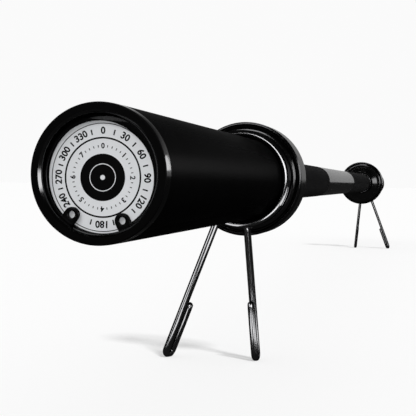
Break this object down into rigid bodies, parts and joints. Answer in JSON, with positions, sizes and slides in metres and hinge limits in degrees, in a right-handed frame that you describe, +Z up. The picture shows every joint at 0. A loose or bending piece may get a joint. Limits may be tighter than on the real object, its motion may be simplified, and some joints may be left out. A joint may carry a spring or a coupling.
{
  "type": "olympic barbell",
  "caption": "Short Olympic barbell with freely turning sleeves on plain bushings, a knurled shaft, and wire spring collars whose handles stand it on the floor.",
  "frame": {"origin": "on the floor under the middle of the bar", "axes": "+X along the bar towards its right end, +Z up"},
  "size_m": [1.524, 0.0946, 0.1465],
  "materials": {
    "shaft_steel": "black-coated steel, knurled grips and a smooth satin middle",
    "sleeve_black": "satin black coat",
    "flange_black": "gloss black faces and a satin rim",
    "bronze": "turned bearing bronze",
    "plain_steel": "plain steel",
    "ring_black": "blackened spring steel",
    "plug_plastic": "moulded black plastic",
    "disc_print": "printed pale disc with dark rings and ticks",
    "spring_steel": "glossy black spring wire"
  },
  "bodies": {
    "shaft": {"shaft": "shaft_steel", "left_retaining_ring": "plain_steel", "left_inner_washer": "plain_steel", "left_outer_washer": "plain_steel", "right_retaining_ring": "plain_steel", "right_inner_washer": "plain_steel", "right_outer_washer": "plain_steel"},
    "left_sleeve": {"left_sleeve": "sleeve_black", "left_flange": "flange_black", "left_inner_bushing": "bronze", "left_outer_bushing": "bronze", "left_end_plug": "plug_plastic", "left_end_disc": "disc_print", "left_snap_ring": "ring_black"},
    "right_sleeve": {"right_sleeve": "sleeve_black", "right_flange": "flange_black", "right_inner_bushing": "bronze", "right_outer_bushing": "bronze", "right_end_plug": "plug_plastic", "right_end_disc": "disc_print", "right_snap_ring": "ring_black"},
    "left_collar": {"left_spring_collar": "spring_steel"},
    "right_collar": {"right_spring_collar": "spring_steel"}
  },
  "joints": [
    {"name": "left_sleeve_spin", "type": "hinge", "parent": "shaft", "child": "left_sleeve", "pos_m": [-0.762, 0, 0.1112], "axis": [1, 0, 0], "continuous": true},
    {"name": "right_sleeve_spin", "type": "hinge", "parent": "shaft", "child": "right_sleeve", "pos_m": [0.762, 0, 0.1112], "axis": [1, 0, 0], "continuous": true},
    {"name": "left_collar_slide", "type": "slide", "parent": "left_sleeve", "child": "left_collar", "axis": [-1, 0, 0], "range_m": [0, 0.265]},
    {"name": "right_collar_slide", "type": "slide", "parent": "right_sleeve", "child": "right_collar", "axis": [1, 0, 0], "range_m": [0, 0.265]}
  ]
}
